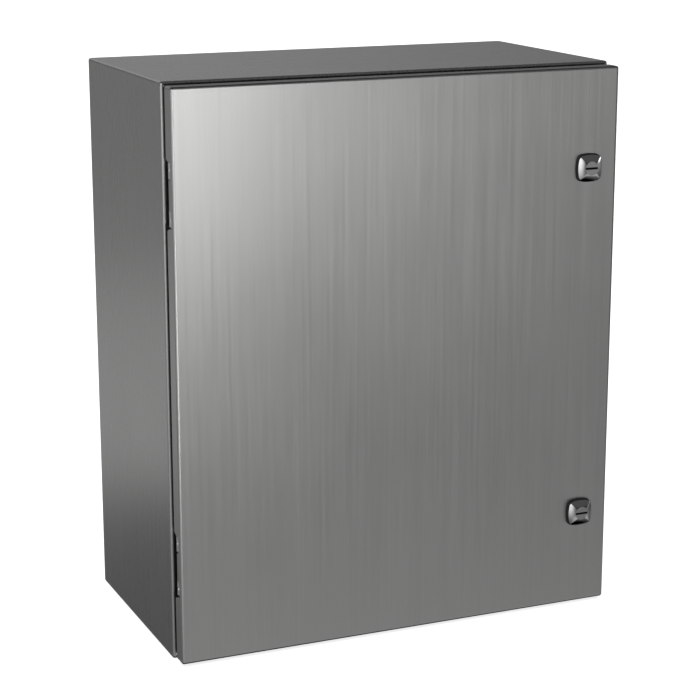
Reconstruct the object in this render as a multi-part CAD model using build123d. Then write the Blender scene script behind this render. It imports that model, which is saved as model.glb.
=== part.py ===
"""Stainless wall-mount enclosure with a fused three-pole disconnect switch inside.

Millimetres. X runs to the right, Y to the wall behind, Z up. The origin is the centre of the
four wall holes on the outer face of the back, so the enclosure lies at negative Y.

The enclosure is a welded sheet-metal box with a flanged front and a forward collar. A pan door
closes over the collar on two concealed hinges at the left and two quarter-turn latches at the
right. The switch stands on a white panel: three double-break rotary blades on one insulated
shaft, arc chutes, three blade fuses in clips, wire lugs, and a lever that turns the shaft
through a parallel link.
"""

from build123d import *

import math
import os

# ---- enclosure -----------------------------------------------------------------------------
BOX_W = 508.0  # 20 inches
BOX_H = 609.6  # 24 inches
BOX_D = 254.0  # 10 inches, without the door
SHEET = 1.5
BEND = 3.0  # outside radius of every sheet-metal bend
COLLAR_INSET = 18.0  # box side to the collar's outer face
COLLAR_LENGTH = 16.0
COLLAR_CORNER = 6.0
WALL_HOLE_R = 5.55
WALL_HOLE_X = 469.9  # hole to hole
WALL_HOLE_Z = 571.5

# ---- door ----------------------------------------------------------------------------------
DOOR_REACH = 27.0  # box front to door front
DOOR_DEPTH = 17.5
DOOR_SIDE_INSET = 1.5
DOOR_END_INSET = 3.0
DOOR_RETURN = 6.0  # width of the fold along the rim's rear edge
GASKET_W = 8.0
GASKET_GAP = 0.3  # gasket to collar

# ---- hinges and latches --------------------------------------------------------------------
LATCH_ZS = (194.5, -194.8)
HINGE_ZS = (193.6, -196.0)
HINGE_IN = 6.5  # hinge axis in from the box side
HINGE_FORWARD = 13.5  # hinge axis ahead of the box front
KNUCKLE_R = 4.0
PIN_R = 2.5
RUNNING = 0.05  # radial clearance of a pin or shaft
OUTER_KNUCKLE = (26.1, 32.0)  # distance range from the hinge's middle
INNER_KNUCKLE = (16.1, 24.3)
NOTCH_HALF = 33.2
NOTCH_SLANT = 3.4  # how much wider the notch is at the rim's rear edge
NOTCH_DEPTH = 7.0
WINDOW_BEYOND_AXIS = 8.5
LATCH_IN = 37.0  # latch axis in from the box side
LATCH_HALF = 15.3
LATCH_BULGE = 2.0
LATCH_CORNER = 6.5
LATCH_HEIGHT = 9.0
LATCH_FLAT = 0.8  # depth of the flat that cuts the crown's top
LATCH_VAULT_R = 25.0
CROWN_ROUND = 1.2
SEAL_T = 1.0
BARREL_R = 10.0
DRIVER_R = 7.5
DRIVER_SUNK = 0.6  # driver face below the crown's flat
SLOT_W = 2.2
SLOT_DEPTH = 4.0
CAM_REACH = 28.0
CAM_T = 3.0
CAM_W = 16.0
CAM_SQUARE = 8.0

# ---- mounting panel ------------------------------------------------------------------------
PANEL_W = 431.8  # 17 inches
PANEL_H = 533.4  # 21 inches
PANEL_T = 2.0
PANEL_FRONT = -19.0
PANEL_RIM = 9.0
STUD_IN = 19.0  # stud in from the panel's edges
STUD_R = 4.0

# ---- switch: "depth" is the distance forward of the panel ------------------------------------
POLES = (-74.0, -20.0, 34.0)
POLE_PITCH = 54.0
BASE_HALF_W = 114.0
BASE_T = 12.0
BASE_BOTTOM = -150.0
BASE_TOP = 170.0
WALL_T = 4.0
WALL_DEPTH = 68.0
STRAP_T = 3.0
STRAP_W = 20.0
TONGUE_T = 3.6
TONGUE_DEPTH = 56.0
ROTOR_Z = 75.0
ROTOR_DEPTH = 48.0
ROTOR_R = 11.0
JOURNAL_R = 6.0
BLADE_HALF = 34.0
BLADE_W = 14.0
BLADE_T = 2.5
BLADE_GAP = 0.1  # blade to contact tongue
FUSE_Z = -32.0
FUSE_DEPTH = 40.0
FUSE_TUBE_R = 14.0
FUSE_CAP_R = 14.5
FUSE_HALF = 37.0  # half the length over the caps
FUSE_BLADE = (3.2, 19.0, 22.0)  # thickness, width, length
CLIP_HALF = 8.0
CLIP_GAP = 0.1
LUG = (22.0, 26.0, 30.0)
LUG_BORE_R = 6.0
LUG_SCREW_R = 4.0
LINE_LUG_Z = 143.0
LOAD_LUG_Z = -122.0

# ---- operating mechanism ---------------------------------------------------------------------
FRAME_LEFT = 67.0
FRAME_RIGHT = 101.0
FRAME_T = 2.0
HANDLE_Z = 0.0
LEVER_ANGLE = 30.0  # above the level, at ON
LEVER_LENGTH = 105.0
LEVER_W = 16.0
LEVER_X = (86.5, 91.5)
CRANK_R = 20.0
CRANK_PIN_R = 3.0
LINK_X = (80.0, 83.0)
LINK_LOOSE = 0.3  # clearance at the link's upper pin
PIVOT_R = 4.0

FRONT = -BOX_D
DOOR_FRONT = FRONT - DOOR_REACH
DOOR_REAR = DOOR_FRONT + DOOR_DEPTH
DOOR_SKIN = DOOR_FRONT + SHEET
DOOR_LEFT = -BOX_W / 2 + DOOR_SIDE_INSET
COLLAR_FRONT = FRONT - COLLAR_LENGTH
HINGE_X = -BOX_W / 2 + HINGE_IN
HINGE_Y = FRONT - HINGE_FORWARD
LATCH_X = BOX_W / 2 - LATCH_IN
CAM_FRONT = FRONT + SHEET + 0.4
CAM_REAR = CAM_FRONT + CAM_T


# ---- helpers ---------------------------------------------------------------------------------
def block(x, y, z):
    """A box over three ranges."""
    size = [abs(r[1] - r[0]) for r in (x, y, z)]
    middle = [(r[0] + r[1]) / 2 for r in (x, y, z)]
    return Pos(*middle) * Box(*size)


def rod_x(y, z, x0, x1, r):
    return Pos((x0 + x1) / 2, y, z) * Rot(0, 90, 0) * Cylinder(r, abs(x1 - x0))


def rod_y(x, z, y0, y1, r):
    return Pos(x, (y0 + y1) / 2, z) * Rot(90, 0, 0) * Cylinder(r, abs(y1 - y0))


def rod_z(x, y, z0, z1, r):
    return Pos(x, y, (z0 + z1) / 2) * Cylinder(r, abs(z1 - z0))


def slab(outline, back, front):
    """An outline drawn in X and Z, extruded from y = back forward to y = front."""
    return extrude(Pos(0, back, 0) * (Plane.XZ * outline), back - front)


def side_slab(outline, x0, x1):
    """An outline drawn in Y and Z, extruded from x = x0 to x = x1."""
    return extrude(Pos(x0, 0, 0) * (Plane.YZ * outline), x1 - x0)


def forward(depth):
    """Y of a point that stands this far forward of the mounting panel."""
    return PANEL_FRONT - depth


def ahead(near, far):
    """Y range between two depths forward of the mounting panel."""
    return forward(far), forward(near)


def mirrored(low, high):
    """A height range, and the same range below zero."""
    return (low, high), (-high, -low)


def hexagon(x, z, flats, y0, y1):
    return slab(Pos(x, z) * RegularPolygon(flats / 2, 6, major_radius=False, rotation=30), y0, y1)


def pan(width, height, rear, front, sheet):
    """A sheet-metal tray with its floor at the front and its rim running back."""
    def tray(half_w, half_h, y0, y1, radius):
        solid = block((-half_w, half_w), (y1, y0), (-half_h, half_h))
        rear_edges = solid.faces().sort_by(Axis.Y)[-1].edges()
        return fillet([e for e in solid.edges() if e not in rear_edges], radius)

    outer = tray(width / 2, height / 2, rear, front, BEND)
    inner = tray(width / 2 - sheet, height / 2 - sheet, rear + 1, front + sheet, BEND - sheet)
    return outer - inner


def solids(shapes):
    """Separate solids kept apart in one node."""
    return Compound(children=[s for shape in shapes for s in shape.solids()])


# ---- enclosure -------------------------------------------------------------------------------
def collar_outline(grow=0.0):
    """Rounded rectangle of the collar's outer face, larger by grow on every side."""
    across = 2 * (grow - COLLAR_INSET)
    return RectangleRounded(BOX_W + across, BOX_H + across, COLLAR_CORNER + grow)


def wall_holes():
    return [(sx * WALL_HOLE_X / 2, sz * WALL_HOLE_Z / 2) for sx in (-1, 1) for sz in (-1, 1)]


def enclosure_body():
    """Welded box: back, four walls, front flange and the collar that the gasket seals on."""
    half_w, half_h = BOX_W / 2, BOX_H / 2
    outer = block((-half_w, half_w), (FRONT, 0), (-half_h, half_h))
    outer = fillet(outer.edges(), BEND)
    cavity = block(
        (SHEET - half_w, half_w - SHEET), (FRONT + SHEET, -SHEET), (SHEET - half_h, half_h - SHEET)
    )
    body = outer - fillet(cavity.edges(), BEND - SHEET)
    body += slab(collar_outline(), FRONT + SHEET, COLLAR_FRONT)
    body -= slab(collar_outline(-SHEET), FRONT + 2 * SHEET, COLLAR_FRONT - 1)
    for x, z in wall_holes():
        body -= rod_y(x, z, -2 * SHEET, SHEET, WALL_HOLE_R)
    return body


def stud_places():
    x, z = PANEL_W / 2 - STUD_IN, PANEL_H / 2 - STUD_IN
    return [(sx * x, sz * z) for sx in (-1, 1) for sz in (-1, 1)]


def panel_studs():
    """Shouldered studs welded to the back: the panel rests on the shoulders."""
    rear_of_panel = PANEL_FRONT + PANEL_T
    studs = []
    for x, z in stud_places():
        shoulder = rod_y(x, z, -SHEET, rear_of_panel, 2 * STUD_R)
        studs.append(shoulder + rod_y(x, z, rear_of_panel, forward(15), STUD_R))
    return solids(studs)


def mounting_panel():
    """White steel panel with its rim folded back, drilled for studs, switch and ground lug."""
    panel = pan(PANEL_W, PANEL_H, PANEL_FRONT + PANEL_RIM, PANEL_FRONT, PANEL_T)
    for x, z in stud_places():
        panel -= rod_y(x, z, PANEL_FRONT - 1, 0, STUD_R + 0.6)
    for x, z in base_screw_places():
        panel -= rod_y(x, z, PANEL_FRONT - 1, 0, 3.0 + RUNNING)
    return panel


def panel_nuts():
    """Flange nuts that clamp the panel."""
    nuts = []
    for x, z in stud_places():
        nut = hexagon(x, z, 13, forward(0), forward(8)) + rod_y(x, z, forward(0), forward(1.6), 9)
        nuts.append(nut - rod_y(x, z, 0, forward(20), STUD_R + RUNNING))
    return solids(nuts)


BODY_GROUND = (-60.0, -286.0)  # X and Z of the ground stud on the back
DOOR_GROUND = (-150.0, -250.0)  # X and Z of the ground stud on the door


def body_ground_stud():
    x, z = BODY_GROUND
    return rod_y(x, z, -SHEET, -SHEET - 2, 6) + rod_y(x, z, -SHEET, -SHEET - 24, 3)


def body_ground_nut():
    """Flange nut on the enclosure's ground stud."""
    x, z = BODY_GROUND
    seat = -SHEET - 8
    nut = hexagon(x, z, 10, seat, seat - 5) + rod_y(x, z, seat, seat - 1.2, 7)
    return nut - rod_y(x, z, 0, seat - 10, 3 + RUNNING)


# ---- door ------------------------------------------------------------------------------------
def notch_outline():
    """Hinge notch in the rim, seen from the side, from the rim's rear edge forward."""
    wide = NOTCH_HALF + NOTCH_SLANT
    return make_face(
        Polyline(
            (1, wide), (0, wide), (-NOTCH_DEPTH, NOTCH_HALF), (-NOTCH_DEPTH, -NOTCH_HALF), (0, -wide),
            (1, -wide), close=True,
        )
    )


def door():
    """Pan door with a returned rim, hinge notches at the left and latch holes at the right."""
    width = BOX_W - 2 * DOOR_SIDE_INSET
    height = BOX_H - 2 * DOOR_END_INSET
    shell = pan(width, height, DOOR_REAR, DOOR_FRONT, SHEET)
    fold = Rectangle(width - SHEET, height - SHEET)
    fold -= Rectangle(width - 2 * DOOR_RETURN, height - 2 * DOOR_RETURN)
    shell += slab(fold, DOOR_REAR, DOOR_REAR - SHEET)
    side = (DOOR_LEFT - 1, DOOR_LEFT + DOOR_RETURN + 1)
    for middle in HINGE_ZS:
        shell -= side_slab(Pos(DOOR_REAR, middle) * notch_outline(), *side)
        window = (HINGE_Y - WINDOW_BEYOND_AXIS, DOOR_REAR + 1)
        for low, high in mirrored(INNER_KNUCKLE[0] - 0.5, NOTCH_HALF):
            shell -= block(side, window, (middle + low, middle + high))
    for middle in LATCH_ZS:
        shell -= rod_y(LATCH_X, middle, DOOR_FRONT - 1, DOOR_SKIN + 1, BARREL_R + 0.1)
    return shell


def door_gasket():
    """Foam seal on the door's inner face, as it is when the collar has pressed it flat."""
    centre = SHEET / 2
    ring = collar_outline(GASKET_W / 2 - centre) - collar_outline(-GASKET_W / 2 - centre)
    top = COLLAR_FRONT - GASKET_GAP
    gasket = slab(ring, top, DOOR_SKIN)
    return fillet(gasket.faces().sort_by(Axis.Y)[-1].edges(), 2)


def door_ground_stud():
    x, z = DOOR_GROUND
    return rod_y(x, z, DOOR_SKIN, DOOR_SKIN + 2, 6) + rod_y(x, z, DOOR_SKIN, DOOR_SKIN + 16, 3)


# ---- hinges ----------------------------------------------------------------------------------
def pin_bore(middle):
    return rod_z(HINGE_X, HINGE_Y, middle - 40, middle + 40, PIN_R + RUNNING)


def hinge_body_leaf(middle):
    """Plate welded to the box's front flange, with the two outer knuckles."""
    plate_front = FRONT - SHEET
    reach = OUTER_KNUCKLE[1]
    leaf = block((-251, -238), (plate_front, FRONT), (middle - reach, middle + reach))
    web_right = HINGE_X + KNUCKLE_R
    for low, high in mirrored(*OUTER_KNUCKLE):
        span = (middle + low, middle + high)
        leaf += block((web_right - SHEET, web_right), (HINGE_Y, plate_front), span)
        leaf += rod_z(HINGE_X, HINGE_Y, *span, KNUCKLE_R)
    return leaf - pin_bore(middle)


def hinge_door_leaf(middle):
    """Angle welded into the corner of the door pan, with the two inner knuckles."""
    left = DOOR_LEFT + SHEET
    reach = INNER_KNUCKLE[1]
    span = (middle - reach, middle + reach)
    angle = block((left, left + 7), (DOOR_SKIN, HINGE_Y - 3.5), span)
    corner = angle.edges().filter_by(Axis.Z).sort_by(Axis.Y)[:2].sort_by(Axis.X)[0]
    leaf = fillet(corner, BEND)
    leaf -= block((left + SHEET, left + 8), (DOOR_SKIN + SHEET, HINGE_Y), span)
    for low, high in mirrored(*INNER_KNUCKLE):
        knuckle = (middle + low, middle + high)
        leaf += block((left, left + SHEET), (HINGE_Y - 4, HINGE_Y), knuckle)
        leaf += rod_z(HINGE_X, HINGE_Y, *knuckle, KNUCKLE_R)
    return leaf - pin_bore(middle)


def hinge_pins():
    """Headed pins, one for each hinge, dropped in from above."""
    pins = []
    for middle in HINGE_ZS:
        top = middle + OUTER_KNUCKLE[1]
        head = fillet(rod_z(HINGE_X, HINGE_Y, top, top + 1.4, 3.3).edges().sort_by(Axis.Z)[-1], 0.6)
        pins.append(head + rod_z(HINGE_X, HINGE_Y, middle - 33, top, PIN_R))
    return solids(pins)


def hinge_washers():
    """Nylon washers that fill the gap between inner and outer knuckles."""
    washers = []
    low, high = INNER_KNUCKLE[1] + 0.05, OUTER_KNUCKLE[0] - 0.05
    for middle in HINGE_ZS:
        for z0, z1 in mirrored(low, high):
            washer = rod_z(HINGE_X, HINGE_Y, middle + z0, middle + z1, KNUCKLE_R - 0.3)
            washers.append(washer - pin_bore(middle))
    return solids(washers)


# ---- latches ---------------------------------------------------------------------------------
def latch_outline(z, grow=0.0):
    """Square with bowed sides and round corners."""
    mid = LATCH_HALF + grow
    tip = mid - LATCH_BULGE
    corners = [(-tip, -tip), (tip, -tip), (tip, tip), (-tip, tip)]
    bows = [(0, -mid), (mid, 0), (0, mid), (-mid, 0)]
    arcs = [
        ThreePointArc(corners[i], bows[i], corners[(i + 1) % 4]) for i in range(4)
    ]
    face = make_face(arcs)
    return Pos(LATCH_X, z) * fillet(face.vertices(), LATCH_CORNER + grow)


def rim_edges(crown, z):
    """The edges where the crown's vaults meet its side wall."""
    edges = []
    for edge in crown.edges():
        middle = edge.position_at(0.5)
        out = math.hypot(middle.X - LATCH_X, middle.Z - z)
        if out > LATCH_HALF - 3 and middle.Y < DOOR_FRONT - SEAL_T - 0.1 and not upright(edge):
            edges.append(edge)
    return edges


def upright(edge):
    """Whether an edge runs along Y."""
    return abs((edge.position_at(1) - edge.position_at(0)).normalized().Y) > 0.9


def latch_housing(z):
    """Die-cast crown in front of the door, and the threaded barrel that passes through it."""
    foot = DOOR_FRONT - SEAL_T
    crown_top = foot - LATCH_HEIGHT
    vault_axis = crown_top + LATCH_VAULT_R
    crown = slab(latch_outline(z), foot, crown_top)
    crown &= rod_x(vault_axis, z, LATCH_X - 20, LATCH_X + 20, LATCH_VAULT_R)
    crown &= rod_z(LATCH_X, vault_axis, z - 20, z + 20, LATCH_VAULT_R)
    crown -= rod_y(LATCH_X, z, crown_top - 1, crown_top + LATCH_FLAT, 20)
    crown = fillet(rim_edges(crown, z), CROWN_ROUND)
    housing = crown + rod_y(LATCH_X, z, foot, DOOR_SKIN + 12.5, BARREL_R)
    return housing - rod_y(LATCH_X, z, crown_top - 1, DOOR_SKIN + 20, DRIVER_R + RUNNING)


def latch_seals():
    """Thin rubber pads between the latch crowns and the door."""
    pads = []
    for z in LATCH_ZS:
        pad = slab(latch_outline(z, 0.3), DOOR_FRONT, DOOR_FRONT - SEAL_T)
        pads.append(pad - rod_y(LATCH_X, z, 0, 2 * DOOR_FRONT, BARREL_R + RUNNING))
    return solids(pads)


def latch_nuts():
    """Thin hexagon nuts that clamp the latch housings to the door."""
    nuts = []
    for z in LATCH_ZS:
        nut = hexagon(LATCH_X, z, 25, DOOR_SKIN + 5, DOOR_SKIN)
        nuts.append(nut - rod_y(LATCH_X, z, 0, 2 * DOOR_FRONT, BARREL_R + RUNNING))
    return solids(nuts)


def latch_driver(z):
    """Slotted core of the latch, with a square at its rear for the cam."""
    face = DOOR_FRONT - SEAL_T - LATCH_HEIGHT + LATCH_FLAT + DRIVER_SUNK
    shoulder = DOOR_SKIN + 12.7
    driver = rod_y(LATCH_X, z, face, shoulder, DRIVER_R)
    driver += rod_y(LATCH_X, z, shoulder, shoulder + 1.6, DRIVER_R + 1.5)
    driver += rod_y(LATCH_X, z, shoulder, CAM_FRONT, 6)
    half = CAM_SQUARE / 2
    driver += block((LATCH_X - half, LATCH_X + half), (CAM_FRONT, CAM_REAR), (z - half, z + half))
    driver -= block(
        (LATCH_X - DRIVER_R - 1, LATCH_X + DRIVER_R + 1),
        (face - 1, face + SLOT_DEPTH),
        (z - SLOT_W / 2, z + SLOT_W / 2),
    )
    return driver - rod_y(LATCH_X, z, CAM_REAR - 12, CAM_REAR + 1, 2.5)


def latch_cam(z):
    """Pawl that turns in behind the front flange. At rest it hangs clear, pointing down."""
    tip = z - CAM_REACH + CAM_W / 2
    half = CAM_W / 2
    cam = block((LATCH_X - half, LATCH_X + half), (CAM_FRONT, CAM_REAR), (tip, z))
    for end in (z, tip):
        cam += rod_y(LATCH_X, end, CAM_FRONT, CAM_REAR, half)
    hole = CAM_SQUARE / 2 + RUNNING
    return cam - block(
        (LATCH_X - hole, LATCH_X + hole), (CAM_FRONT - 1, CAM_REAR + 1), (z - hole, z + hole)
    )


def latch_cam_screw(z):
    """Washer-head hexagon screw that holds the cam."""
    screw = rod_y(LATCH_X, z, CAM_REAR, CAM_REAR + 1.2, 6.5)
    screw += hexagon(LATCH_X, z, 8, CAM_REAR + 4.6, CAM_REAR + 1.2)
    return screw + rod_y(LATCH_X, z, CAM_REAR - 10, CAM_REAR, 2.5 - RUNNING)


# ---- switch base and current path --------------------------------------------------------------
def base_screw_places():
    return [(sx * 108.5, z) for sx in (-1, 1) for z in (-132.0, 152.0)]


def wall_places():
    """X of the four walls beside the poles."""
    return [POLES[0] + POLE_PITCH * (i - 0.5) for i in range(4)]


def switch_base():
    """Moulded base with a wall on each side of every pole and a slot for the rotor shaft."""
    plate = block(
        (-BASE_HALF_W, BASE_HALF_W), ahead(0, BASE_T), (BASE_BOTTOM, BASE_TOP)
    )
    base = fillet(plate.edges().filter_by(Axis.Y), 6)
    for i, x in enumerate(wall_places()):
        wall = block(
            (x - WALL_T / 2, x + WALL_T / 2), ahead(BASE_T, WALL_DEPTH), (BASE_BOTTOM + 4, BASE_TOP - 4)
        )
        ends = wall.edges().filter_by(Axis.X).sort_by(Axis.Y)[:2]
        base += fillet(ends, 8)
        if i == 0:
            base -= rod_x(forward(ROTOR_DEPTH), ROTOR_Z, x - 4, x + 4, JOURNAL_R + RUNNING)
            continue
        slot = ROTOR_R + 1
        base -= rod_x(forward(ROTOR_DEPTH), ROTOR_Z, x - 4, x + 4, slot)
        base -= block(
            (x - 4, x + 4), ahead(ROTOR_DEPTH, WALL_DEPTH + 1), (ROTOR_Z - slot, ROTOR_Z + slot)
        )
    for x, z in base_screw_places():
        base -= rod_y(x, z, forward(-1), forward(BASE_T + 1), 3.2)
    for x, z in FRAME_SCREWS:
        base -= rod_y(x, z, forward(BASE_T + FRAME_T - 13), forward(BASE_T + 1), 2.5)
    return base


def switch_screws():
    """Pan-head screws that hold the base to the panel."""
    screws = []
    for x, z in base_screw_places():
        head = rod_y(x, z, forward(BASE_T), forward(BASE_T + 3.4), 5)
        head = fillet(head.edges().sort_by(Axis.Y)[0], 1.5)
        screw = head + rod_y(x, z, forward(-6), forward(BASE_T), 3)
        top = forward(BASE_T + 3.4)
        screws.append(screw - block((x - 4.2, x + 4.2), (top - 1, top + 1.4), (z - 0.6, z + 0.6)))
    return solids(screws)


def contact(x, strap, tongue):
    """Copper strap on the base with an upright tongue for the moving blades."""
    half = STRAP_W / 2
    bar = block((x - half, x + half), ahead(BASE_T, BASE_T + STRAP_T), strap)
    blade = block(
        (x - TONGUE_T / 2, x + TONGUE_T / 2), ahead(BASE_T + STRAP_T, TONGUE_DEPTH), tongue
    )
    nose = blade.edges().filter_by(Axis.X).sort_by(Axis.Y)[:2]
    return bar + fillet(nose, 4)


def line_contacts():
    """Fixed contacts above the shaft, each in one piece with the strap under its line lug."""
    strap = (98.0, LINE_LUG_Z + LUG[2] / 2)
    return solids([contact(x, strap, (98.0, 114.0)) for x in POLES])


def load_contacts():
    """Fixed contacts below the shaft, each in one piece with the strap under its fuse clip."""
    return solids([contact(x, (6.0, 52.0), (36.0, 52.0)) for x in POLES])


def load_straps():
    """Copper straps from the lower fuse clips to the load lugs."""
    half = STRAP_W / 2
    low = LOAD_LUG_Z - LUG[2] / 2
    depths = ahead(BASE_T, BASE_T + STRAP_T)
    return solids([block((x - half, x + half), depths, (low, -70.0)) for x in POLES])


def lug(x, z, seat):
    """Aluminium wire lug: an upright bore for the conductor and a screw hole in front."""
    across, deep, tall = LUG
    body = block((x - across / 2, x + across / 2), ahead(seat, seat + deep), (z - tall / 2, z + tall / 2))
    body = fillet(body.edges().filter_by(Axis.Z), 2)
    bore = forward(seat + 12)
    body -= rod_z(x, bore, z - tall, z + tall, LUG_BORE_R)
    return body - rod_y(x, z, bore, forward(seat + deep + 1), LUG_SCREW_R)


def lug_screw(x, z, seat):
    """Socket set screw, just clear of the conductor bore."""
    inner, outer = seat + 12 + LUG_BORE_R + 0.3, seat + LUG[1] + 2
    screw = rod_y(x, z, forward(inner), forward(outer), LUG_SCREW_R - RUNNING)
    return screw - hexagon(x, z, 4, forward(outer - 4), forward(outer + 1))


GROUND_LUG = (-168.0, -215.0)  # X and Z on the mounting panel


def line_lugs():
    return solids([lug(x, LINE_LUG_Z, BASE_T + STRAP_T) for x in POLES])


def load_lugs():
    return solids([lug(x, LOAD_LUG_Z, BASE_T + STRAP_T) for x in POLES])


def ground_lug():
    return lug(*GROUND_LUG, 0)


def lug_screws():
    seat = BASE_T + STRAP_T
    screws = [lug_screw(x, z, seat) for x in POLES for z in (LINE_LUG_Z, LOAD_LUG_Z)]
    return solids(screws + [lug_screw(*GROUND_LUG, 0)])


# ---- fuses -------------------------------------------------------------------------------------
def fuse_blade_middle():
    return FUSE_HALF + FUSE_BLADE[2] / 2


def fuse_clips(x):
    """Two spring clips, above and below, that grip the fuse's blades from the sides."""
    clips = []
    gap = FUSE_BLADE[0] / 2 + CLIP_GAP
    seat = BASE_T + STRAP_T
    for z in (FUSE_Z + fuse_blade_middle(), FUSE_Z - fuse_blade_middle()):
        span = (z - CLIP_HALF, z + CLIP_HALF)
        clip = block((x - 8, x + 8), ahead(seat, seat + 1.6), span)
        for side in (-1, 1):
            inner, outer = x + side * gap, x + side * (gap + 1.6)
            clip += block((inner, outer), ahead(seat, 48), span)
            flare = Pos(x + side * (gap + 0.8), forward(48), z) * Rot(0, 0, side * 25)
            clip += flare * Pos(0, -3.9, 0) * Box(1.6, 8, 2 * CLIP_HALF)
        clips.append(clip)
    return solids(clips)


def fuse_tube(x):
    """Insulating tube, turned down at its ends where the caps fit."""
    y = forward(FUSE_DEPTH)
    tube = rod_z(x, y, FUSE_Z - FUSE_HALF + 2, FUSE_Z + FUSE_HALF - 2, FUSE_TUBE_R - 0.8)
    return tube + rod_z(x, y, FUSE_Z - FUSE_HALF + 12, FUSE_Z + FUSE_HALF - 12, FUSE_TUBE_R)


def fuse_caps(x):
    """Metal end caps with their knife blades."""
    y = forward(FUSE_DEPTH)
    thick, wide, long = FUSE_BLADE
    caps = []
    for side in (-1, 1):
        end = FUSE_Z + side * FUSE_HALF
        inner = end - side * 12
        cap = rod_z(x, y, inner, end, FUSE_CAP_R)
        outer_edge = cap.edges().filter_by(GeomType.CIRCLE).sort_by(Axis.Z)[-1 if side > 0 else 0]
        cap = fillet(outer_edge, 1.2)
        cap -= rod_z(x, y, inner - side, end - side * 2, FUSE_TUBE_R - 0.8 + 0.02)
        blade = block(
            (x - thick / 2, x + thick / 2), (y - wide / 2, y + wide / 2), (end - side, end + side * long)
        )
        tip = blade.edges().filter_by(Axis.X).sort_by(Axis.Z)
        caps.append(cap + fillet(tip[-2:] if side > 0 else tip[:2], 3))
    return solids(caps)


# ---- rotor -------------------------------------------------------------------------------------
def blade_strips(x):
    """The two parallel strips of one pole, which straddle the contact tongues at ON."""
    y = forward(ROTOR_DEPTH)
    strips = []
    for side in (-1, 1):
        near = x + side * (TONGUE_T / 2 + BLADE_GAP)
        far = near + side * BLADE_T
        strip = block(
            (near, far), (y - BLADE_W / 2, y + BLADE_W / 2), (ROTOR_Z - BLADE_HALF, ROTOR_Z + BLADE_HALF)
        )
        strips.append(fillet(strip.edges().filter_by(Axis.X), 5))
    return strips


def blade_pair(x):
    return solids(blade_strips(x))


def rotor_shaft():
    """Insulated shaft that carries all three blade pairs, with a journal at each end."""
    y = forward(ROTOR_DEPTH)
    left = wall_places()[0] + WALL_T / 2 + 0.5
    right = wall_places()[3] - WALL_T / 2 - 0.5
    shaft = rod_x(y, ROTOR_Z, left, right, ROTOR_R)
    shaft += rod_x(y, ROTOR_Z, left - WALL_T, left, JOURNAL_R)
    shaft += rod_x(y, ROTOR_Z, right, FRAME_LEFT + 11, JOURNAL_R)
    for x in POLES:
        for strip in blade_strips(x):
            shaft -= strip
    return shaft


def crank_pin_offset():
    """Y and Z from a crank's axis to its pin, at ON."""
    pin = Vector(-CRANK_R, 0, 0).rotate(Axis.Z, -LEVER_ANGLE)
    return pin.X, pin.Y


def bar(axis_y, axis_z, length, width, x0, x1):
    """Flat bar with round ends that leaves an axis forward and up at the lever's angle."""
    outline = Pos(-length / 2, 0) * SlotCenterToCenter(length, width)
    return side_slab(Pos(axis_y, axis_z) * Rot(0, 0, -LEVER_ANGLE) * outline, x0, x1)


def rotor_crank():
    """Steel crank on the end of the shaft, with the pin that the link pushes."""
    y = forward(ROTOR_DEPTH)
    dy, dz = crank_pin_offset()
    crank = bar(y, ROTOR_Z, CRANK_R, 12, 72, 77)
    crank += rod_x(y, ROTOR_Z, 72, 77, 10)
    crank += rod_x(y + dy, ROTOR_Z + dz, 77, LINK_X[1] + 1.5, CRANK_PIN_R)
    return crank - rod_x(y, ROTOR_Z, 60, 90, JOURNAL_R + RUNNING)


# ---- operating mechanism -----------------------------------------------------------------------
def mechanism_frame():
    """Plated steel bracket: the left cheek carries shaft and lever, the right one the lever."""
    y = forward(ROTOR_DEPTH)
    low, high = HANDLE_Z - 20, ROTOR_Z + 18
    frame = block((FRAME_LEFT, FRAME_RIGHT), ahead(BASE_T, BASE_T + FRAME_T), (low, high))
    cheek = block((FRAME_LEFT, FRAME_LEFT + FRAME_T), ahead(BASE_T, 64), (low, high))
    frame += fillet(cheek.edges().filter_by(Axis.X).sort_by(Axis.Y)[:2], 12)
    cheek = block(
        (FRAME_RIGHT - FRAME_T, FRAME_RIGHT), ahead(BASE_T, 62), (low, HANDLE_Z + 20)
    )
    frame += fillet(cheek.edges().filter_by(Axis.X).sort_by(Axis.Y)[:2], 12)
    frame -= rod_x(y, ROTOR_Z, FRAME_LEFT - 1, FRAME_LEFT + 3, JOURNAL_R + RUNNING)
    for x, z in FRAME_SCREWS:
        frame -= rod_y(x, z, forward(BASE_T - 1), forward(BASE_T + FRAME_T + 1), 2.5)
    return frame - rod_x(y, HANDLE_Z, 60, 110, PIVOT_R + RUNNING)


FRAME_SCREWS = ((84.0, -10.0), (84.0, 84.0))  # X and Z


def frame_screws():
    """Pan-head screws that hold the mechanism frame to the switch base."""
    screws = []
    seat = BASE_T + FRAME_T
    for x, z in FRAME_SCREWS:
        head = rod_y(x, z, forward(seat), forward(seat + 3), 4.5)
        head = fillet(head.edges().sort_by(Axis.Y)[0], 1.2)
        slot = block((x - 3.8, x + 3.8), ahead(seat + 1.8, seat + 4), (z - 0.6, z + 0.6))
        screws.append(head - slot + rod_y(x, z, forward(seat - 12), forward(seat), 2.5 - RUNNING))
    return solids(screws)


def pivot_pin():
    """Headed pin on which the lever turns."""
    y = forward(ROTOR_DEPTH)
    pin = rod_x(y, HANDLE_Z, FRAME_LEFT, FRAME_RIGHT, PIVOT_R)
    pin += rod_x(y, HANDLE_Z, FRAME_LEFT - 2, FRAME_LEFT, 6)
    return pin + rod_x(y, HANDLE_Z, FRAME_RIGHT, FRAME_RIGHT + 2, 6)


def lever_bar():
    y = forward(ROTOR_DEPTH)
    return bar(y, HANDLE_Z, LEVER_LENGTH, LEVER_W, *LEVER_X)


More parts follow.
